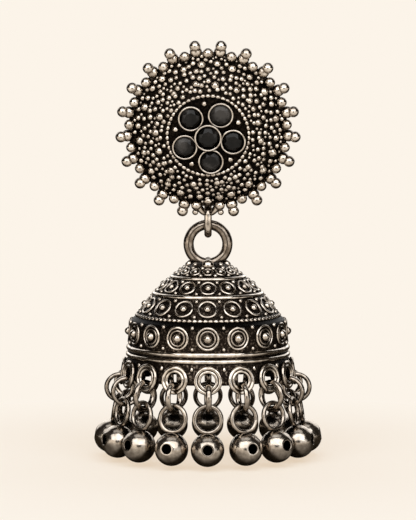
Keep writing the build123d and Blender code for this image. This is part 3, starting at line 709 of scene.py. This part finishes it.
def bosses():
    """Rows of ringed bosses with small granules above and below, half way between two."""
    shapes = []
    for row in BOSS_ROWS:
        step = 360 / row["count"]
        shift = BOSS_OFF * RNG.uniform(-1, 1, (row["count"], 2))
        at = [step * (i + shift[i, 0]) - 90 for i in range(row["count"])]
        raised = [tier_place(row, a, BOSS_RING_RISE) for a in at]
        # Each ring bows with the slope's own curve across it: z' = z - y^2 / 2R.
        slope = tier_place(row, 0)
        bow_r = slope[0, 3] / slope[0, 2]
        for ring_r in row["rings"]:
            # Inside another ring, a ring is of finer wire and less rubbed.
            share = INNER_WIRE if ring_r < max(row["rings"]) else 1.0
            points, *rest = ring(ring_r, share * row["wire_r"], sides=36, round_sides=10, wear=share, ground=-0.9)
            bowed = points - np.stack([0 * points[:, 0], 0 * points[:, 0], points[:, 1] ** 2 / (2 * bow_r)], -1)
            shapes.append(copies((bowed, *rest), raised, 1 + shift[:, 1]))
        crests = [tier_place(row, a, BOSS_BALL_RISE) for a in at]
        shapes.append(copies(granule(18, 11, crest=0.2), crests, [row["ball_r"]] * len(at)))
        between = [tier_place(row, step * (i + 0.5) - 90) for i in range(row["count"])]
        small = [place @ move(side * row["reach"], 0, STUDDING_RISE) for place in between for side in (-1, 1)]
        shapes.append(copies(granule(12, 8, crest=0.2), small, [STUDDING_BALL_R] * len(small)))
    return shapes


def trim_wires():
    """Wires round the dome. The one at the third ledge is beaded."""
    shapes = []
    for wire in TRIM_WIRES:
        r, z = DOME_CORNERS[wire["corner"]]
        sides = 6 * wire["beads"] or 160
        points, quads, tris, _ = ring(r, wire["wire_r"], sides=sides, beads=wire["beads"])
        # Wear is counted outwards from the dome, so the wire is dark where it meets the slope.
        out = np.hypot(points[:, 0], points[:, 1]) - r + 0.4 * points[:, 2]
        low, high = (0.1, 0.9) if wire["beads"] else (-0.5, 0.5)
        worn = smooth(out / wire["wire_r"], low, high)
        shapes.append(placed((points, quads, tris, worn), move(z=z - wire["down"])))
    return shapes


def collar():
    """Granules round the ring's foot."""
    shapes = []
    for kind in COLLAR_GRANULES:
        places = [turn("z", angle - 90) @ move(kind["row_r"], 0, kind["z"]) for angle in kind["angles"]]
        shapes.append(copies(granule(20, 13), places, [kind["ball_r"]] * len(places)))
    return shapes


def loops():
    """Each loop is two wire rings, one in the other, on a thin dark web. A small bud fills the gap over two."""
    places = [loop_place(n) for n in range(DROPS)]
    wires = [ring(wire["ring_r"], wire["wire_r"], sides=44, ground=-0.9) for wire in LOOP_WIRES]
    outer, inner = (wire["ring_r"] for wire in LOOP_WIRES)
    half = LOOP_WEB_T / 2
    web = np.array([(inner, -half), (outer, -half), (outer, half), (inner, half)])
    shapes = [copies(shape, places, [1] * DROPS) for shape in (*wires, open_lathe(web, 44, WEB_WEAR))]
    points, *rest = granule(14, 9)
    bud = (points * (1.0, 1.0, BUD_LENGTH), *rest)
    high, low = DOME_CORNERS[-2:]
    bud_r = high[0] + (BUD_Z - high[1]) / (low[1] - high[1]) * (low[0] - high[0])
    buds = [turn("z", -90 + (n + 0.5) * 360 / DROPS) @ move(bud_r, 0, BUD_Z) for n in range(DROPS)]
    shapes.append(copies(bud, buds, [BUD_BALL_R] * DROPS))
    return shapes


def dress_bell():
    """The bell in three pieces, which replace its one solid together."""
    top_ring = ring(RING_R, RING_WIRE_R, sides=72, round_sides=20, wear=TOP_RING_WEAR)
    bell = {
        "bell_dome_and_ring": [bell_shell(), placed(top_ring, turn("x", 90))],
        "bell_wires_and_bosses": trim_wires() + bosses() + collar(),
        "skirt_loops": loops(),
    }
    for name, shapes in bell.items():
        make_piece(name, placed(joined(shapes), BELL), SILVER, "bell", "bell")


# ---------------------------------------------------------------- fringe
def lean_of(n):
    """How drop n hangs, counted round from the front."""
    return DROP_LEANS[min(n, DROPS - n)]


def link_place(n):
    """The middle of a drop link's wire at its top, with its own x outwards and its own z up the link."""
    lean, slant = lean_of(n), math.radians(LOOP_LEAN_DEG)
    wire_z = LOOP_Z - LOOP_HOLE_R * math.cos(slant) + HANG_GAP + DROP_WIRE_R
    wire_out = LOOP_OUT + LOOP_HOLE_R * math.sin(slant)
    plumb = turn("z", -90 + n * 360 / DROPS) @ move(wire_out, 0, wire_z)
    return plumb @ turn("y", -lean["out"][0]) @ turn("x", lean["side"][0])


def bead_place(n):
    """The middle of the bead's own ring's wire at its top."""
    (link_out, bead_out), (link_side, bead_side) = lean_of(n)["out"], lean_of(n)["side"]
    reach = 2 * DROP_RING_R - 2 * DROP_WIRE_R - HANG_GAP
    upright = link_place(n) @ move(z=-reach) @ turn("x", -link_side) @ turn("y", link_out)
    return upright @ turn("y", -bead_out) @ turn("x", bead_side) @ turn("z", lean_of(n)["turn"][1])


def hollow_bead():
    """A ball with a round vent, turned about its own z: the outer skin from the far pole to the vent's rounded
    edge, then the inner skin back. The inside is black."""
    inner_r = BEAD_R - BEAD_WALL
    to_vent = math.pi - math.asin((BEAD_VENT_R + 0.10) / BEAD_R)
    t = np.linspace(0, to_vent, 26)
    outer = np.stack([BEAD_R * np.sin(t), -BEAD_R * np.cos(t)], -1)
    lip_z = outer[-1, 1]
    lip = np.array([(BEAD_VENT_R + 0.02, lip_z - 0.06), (BEAD_VENT_R, lip_z - 0.16)])
    s = np.linspace(math.pi - math.asin(BEAD_VENT_R / inner_r), 0, 12)
    inner = np.stack([inner_r * np.sin(s), -inner_r * np.cos(s)], -1)
    profile = np.vstack([outer, lip, inner])
    wear = np.concatenate([np.full(len(outer), BEAD_WEAR), [0.5, 0.1], np.full(len(inner), PACKED_BLACK)])
    return closed_lathe(profile, 40, wear)


def dress_fringe():
    """The links, and the beads with their own rings, each hung at its own lean."""
    own_ring = ring(DROP_RING_R, DROP_WIRE_R, round_sides=14, wear=CHAIN_WEAR)
    own_ring = placed(own_ring, move(z=-DROP_RING_R) @ turn("y", 90))
    middle = move(z=-2 * DROP_RING_R - DROP_WIRE_R + BEAD_SINK - BEAD_R)
    drop = joined([own_ring, placed(hollow_bead(), middle @ turn("y", 90))])
    wire = ring(DROP_RING_R, DROP_WIRE_R, round_sides=14, wear=CHAIN_WEAR, broad=LINK_BREADTH)
    wire = placed(wire, move(z=-DROP_RING_R) @ turn("x", 90))
    for n in range(DROPS):
        link, bead = f"drop_link_{n + 1:02d}", f"bead_drop_{n + 1:02d}"
        place = BELL @ link_place(n) @ turn("z", lean_of(n)["turn"][0])
        make_piece(f"{link}_wire", placed(wire, place), SILVER, "bell", link)
        make_piece(f"{bead}_ball", placed(drop, BELL @ bead_place(n)), TUMBLED_SILVER, "bell", bead)


# ---------------------------------------------------------------- what stays as packed
def polish_stones():
    """The cut stones keep the shape they are packed with and take the onyx."""
    for node in ["centre_stone"] + [f"petal_stone_{n + 1}" for n in range(PETALS)]:
        mesh = frame["nodes"][node].data
        mesh.materials.clear()
        mesh.materials.append(ONYX)


dress_stud_front()
dress_hanger_link()
dress_bell()
dress_fringe()
dress_stud_back()
dress_ear_post()
polish_stones()

# ---------------------------------------------------------------- camera, floor and light
LOW, HIGH = np.array(CAD_BOX[0]), np.array(CAD_BOX[1])
CAMERA_DISTANCE = 0.44
CAMERA_RISE = 0.019  # above the stud's middle, which is the origin
FRAME_SHARE, AIM_DROP = 1.24, 0.0015  # the frame's height over the earring's, and how far the aim is below its middle
FLOOR_DROP, FLOOR_HALF_W = 0.0006, 3.0
PALE, SHADE = "#fcf4e9", "#e0ccb4"
LAMP_LIGHT = 1.0  # what the lamps give a white floor under the earring
LAMP_TARGET, LAMP_DISTANCE = (0.0, 0.0, -0.02), 0.45


def aim(obj, place, target):
    """Puts obj at place with its own -z towards the target."""
    obj.location = place
    obj.rotation_euler = (Vector(target) - Vector(place)).to_track_quat("-Z", "Y").to_euler()


def make_camera():
    """A long lens in front, a little above the stud, framing the whole earring."""
    data = bpy.data.cameras.new("camera")
    data.sensor_fit = "VERTICAL"
    data.sensor_height = 24.0
    frame_height = (HIGH[2] - LOW[2]) * FRAME_SHARE
    data.lens = data.sensor_height * CAMERA_DISTANCE / frame_height
    data.clip_start, data.clip_end = 0.01, 10.0
    camera = bpy.data.objects.new("camera", data)
    bpy.context.scene.collection.objects.link(camera)
    aim(camera, (0.0, -CAMERA_DISTANCE, CAMERA_RISE), (0.0, 0.0, (HIGH[2] + LOW[2]) / 2 - AIM_DROP))
    bpy.context.scene.camera = camera


def softbox(name, azimuth, elevation, spread, strength, hexa="#ffffff"):
    """An oblong lamp that faces the bell, seen from there at azimuth (0 in front, 90 on the right) and elevation, and
    spread so many degrees wide and high. Strength is its surface's brightness, where 1 renders as white."""
    a, e = math.radians(azimuth), math.radians(elevation)
    way = Vector((math.sin(a) * math.cos(e), -math.cos(a) * math.cos(e), math.sin(e)))
    size = [2 * LAMP_DISTANCE * math.tan(math.radians(part / 2)) for part in spread]
    data = bpy.data.lights.new(name, "AREA")
    data.shape, data.size, data.size_y = "RECTANGLE", size[0], size[1]
    data.energy = strength * math.pi * size[0] * size[1]
    data.color = colour(hexa)[:3]
    lamp = bpy.data.objects.new(name, data)
    bpy.context.scene.collection.objects.link(lamp)
    lamp.visible_camera = False
    aim(lamp, Vector(LAMP_TARGET) + LAMP_DISTANCE * way, LAMP_TARGET)


def pool(tree, place, middle, radii, soft):
    """0 within an ellipse on the floor and 1 beyond its edge by the share soft, from |((x - a) / p, (y - b) / q)|."""
    scale = (1 / radii[0], 1 / radii[1], 0.0)
    shift = (-middle[0] / radii[0], -middle[1] / radii[1], 0.0)
    local = add_node(tree, "ShaderNodeMapping", {"Vector": place, "Location": shift, "Scale": scale}).outputs[0]
    away = add_node(tree, "ShaderNodeVectorMath", {0: local}, operation="LENGTH").outputs["Value"]
    return add_node(tree, "ShaderNodeMapRange", {"Value": away, "From Min": 1.0, "From Max": 1.0 + soft}).outputs[0]


def make_floor():
    """A wide pale floor just under the lowest bead. Near the earring it takes its shadow, which is warm, and from 25 to
    70 mm out it turns into the backdrop's plain colour. Polished metal mirrors that colour too, but under the bell,
    behind the earring and in front of the camera it mirrors painted shade. That painted shade is dark paper, and the
    pool in front is a painted shadow of the camera. The light the floor bounces comes from that dark paper everywhere."""
    side, z = FLOOR_HALF_W, LOW[2] - FLOOR_DROP
    mesh = bpy.data.meshes.new("floor")
    mesh.from_pydata([(-side, -side, z), (side, -side, z), (side, side, z), (-side, side, z)], [], [(0, 1, 2, 3)])
    floor = bpy.data.objects.new("floor", mesh)
    bpy.context.scene.collection.objects.link(floor)
    material, tree = blank_material("pale_paper_sweep")
    place = add_node(tree, "ShaderNodeTexCoord").outputs["Object"]
    # Dark paper, painted shade: metal mirrors it in the pools below, and it is all the floor bounces.
    painted_shade_paper = add_node(tree, "ShaderNodeBsdfDiffuse", {"Color": colour("#40392f")}).outputs[0]
    glow = add_node(tree, "ShaderNodeEmission", {"Color": colour(PALE), "Strength": 1.0}).outputs[0]
    # In full shadow the paper shows the first colour, and the lamps' light adds the second.
    shade = add_node(tree, "ShaderNodeEmission", {"Color": colour(SHADE), "Strength": 1.0}).outputs[0]
    rest = [max(0.0, (a - b) / LAMP_LIGHT) for a, b in zip(colour(PALE)[:3], colour(SHADE)[:3])]
    lit = add_node(tree, "ShaderNodeBsdfDiffuse", {"Color": (*rest, 1.0)}).outputs[0]
    near = add_node(tree, "ShaderNodeAddShader", {0: shade, 1: lit}).outputs[0]
    far = pool(tree, place, (0.0, 0.0), (0.025, 0.025), 1.8)
    seen = add_node(tree, "ShaderNodeMixShader", {0: far, 1: near, 2: glow}).outputs[0]
    # Pools of painted shade for mirrored rays, 0 inside. They lie under the bell and behind the earring, and the pool
    # in front is a painted shadow of the camera.
    under = pool(tree, place, (0.0, BELL_Y * MM), (0.015, 0.015), 0.35)
    behind = pool(tree, place, (0.0, 0.900), (1.200, 0.900), 0.03)
    before = pool(tree, place, (0.0, -0.420), (0.085, 0.220), 0.20)
    outside_painted_shade = add_node(tree, "ShaderNodeMath", {0: under, 1: behind}, operation="MINIMUM").outputs[0]
    outside_painted_shade = add_node(tree, "ShaderNodeMath", {0: outside_painted_shade, 1: before}, operation="MINIMUM").outputs[0]
    rays = add_node(tree, "ShaderNodeLightPath").outputs
    both = {0: rays["Is Glossy Ray"], 1: rays["Is Transmission Ray"]}
    mirrored = add_node(tree, "ShaderNodeMath", both, operation="MAXIMUM").outputs[0]
    plain = add_node(tree, "ShaderNodeMath", {0: mirrored, 1: outside_painted_shade}, operation="MULTIPLY").outputs[0]
    other = add_node(tree, "ShaderNodeMixShader", {0: plain, 1: painted_shade_paper, 2: glow}).outputs[0]
    surface = add_node(tree, "ShaderNodeMixShader", {0: rays["Is Camera Ray"], 1: other, 2: seen}).outputs[0]
    add_node(tree, "ShaderNodeOutputMaterial", {"Surface": surface})
    mesh.materials.append(material)


def make_world():
    """The backdrop's pale colour behind the earring, for the camera and for glossy rays within 30 degrees of
    straight back. Elsewhere the room is dim, so polished metal has dark edges."""
    world = bpy.data.worlds.new("studio")
    bpy.context.scene.world = world
    world.use_nodes = True
    tree = world.node_tree
    tree.nodes.clear()
    rays = add_node(tree, "ShaderNodeLightPath").outputs
    way = add_node(tree, "ShaderNodeTexCoord").outputs["Generated"]
    back = add_node(tree, "ShaderNodeSeparateXYZ", {0: way}).outputs["Y"]
    behind = add_node(tree, "ShaderNodeMapRange", {"Value": back, "From Min": 0.88, "From Max": 0.94}).outputs[0]
    shown = add_node(tree, "ShaderNodeMath", {0: behind, 1: rays["Is Glossy Ray"]}, operation="MULTIPLY").outputs[0]
    for kind in ("Is Camera Ray", "Is Transmission Ray"):
        shown = add_node(tree, "ShaderNodeMath", {0: shown, 1: rays[kind]}, operation="MAXIMUM").outputs[0]
    room = add_node(tree, "ShaderNodeBackground", {"Color": colour("#6f665c"), "Strength": 0.20}).outputs[0]
    pale = add_node(tree, "ShaderNodeBackground", {"Color": colour(PALE), "Strength": 1.0}).outputs[0]
    seen = add_node(tree, "ShaderNodeMixShader", {0: shown, 1: room, 2: pale}).outputs[0]
    add_node(tree, "ShaderNodeOutputWorld", {"Surface": seen})


make_camera()
softbox("top_box", 0, 38, (88, 48), 2.6)
softbox("overhead_box", 0, 84, (50, 24), 0.8)
softbox("left_box", -40, 0, (50, 24), 1.3, "#fff6ea")
softbox("right_box", 40, 0, (50, 24), 1.2)
softbox("rear_box", 180, 30, (90, 44), 1.3)
make_floor()
make_world()
bpy.context.scene.view_settings.view_transform = "Standard"
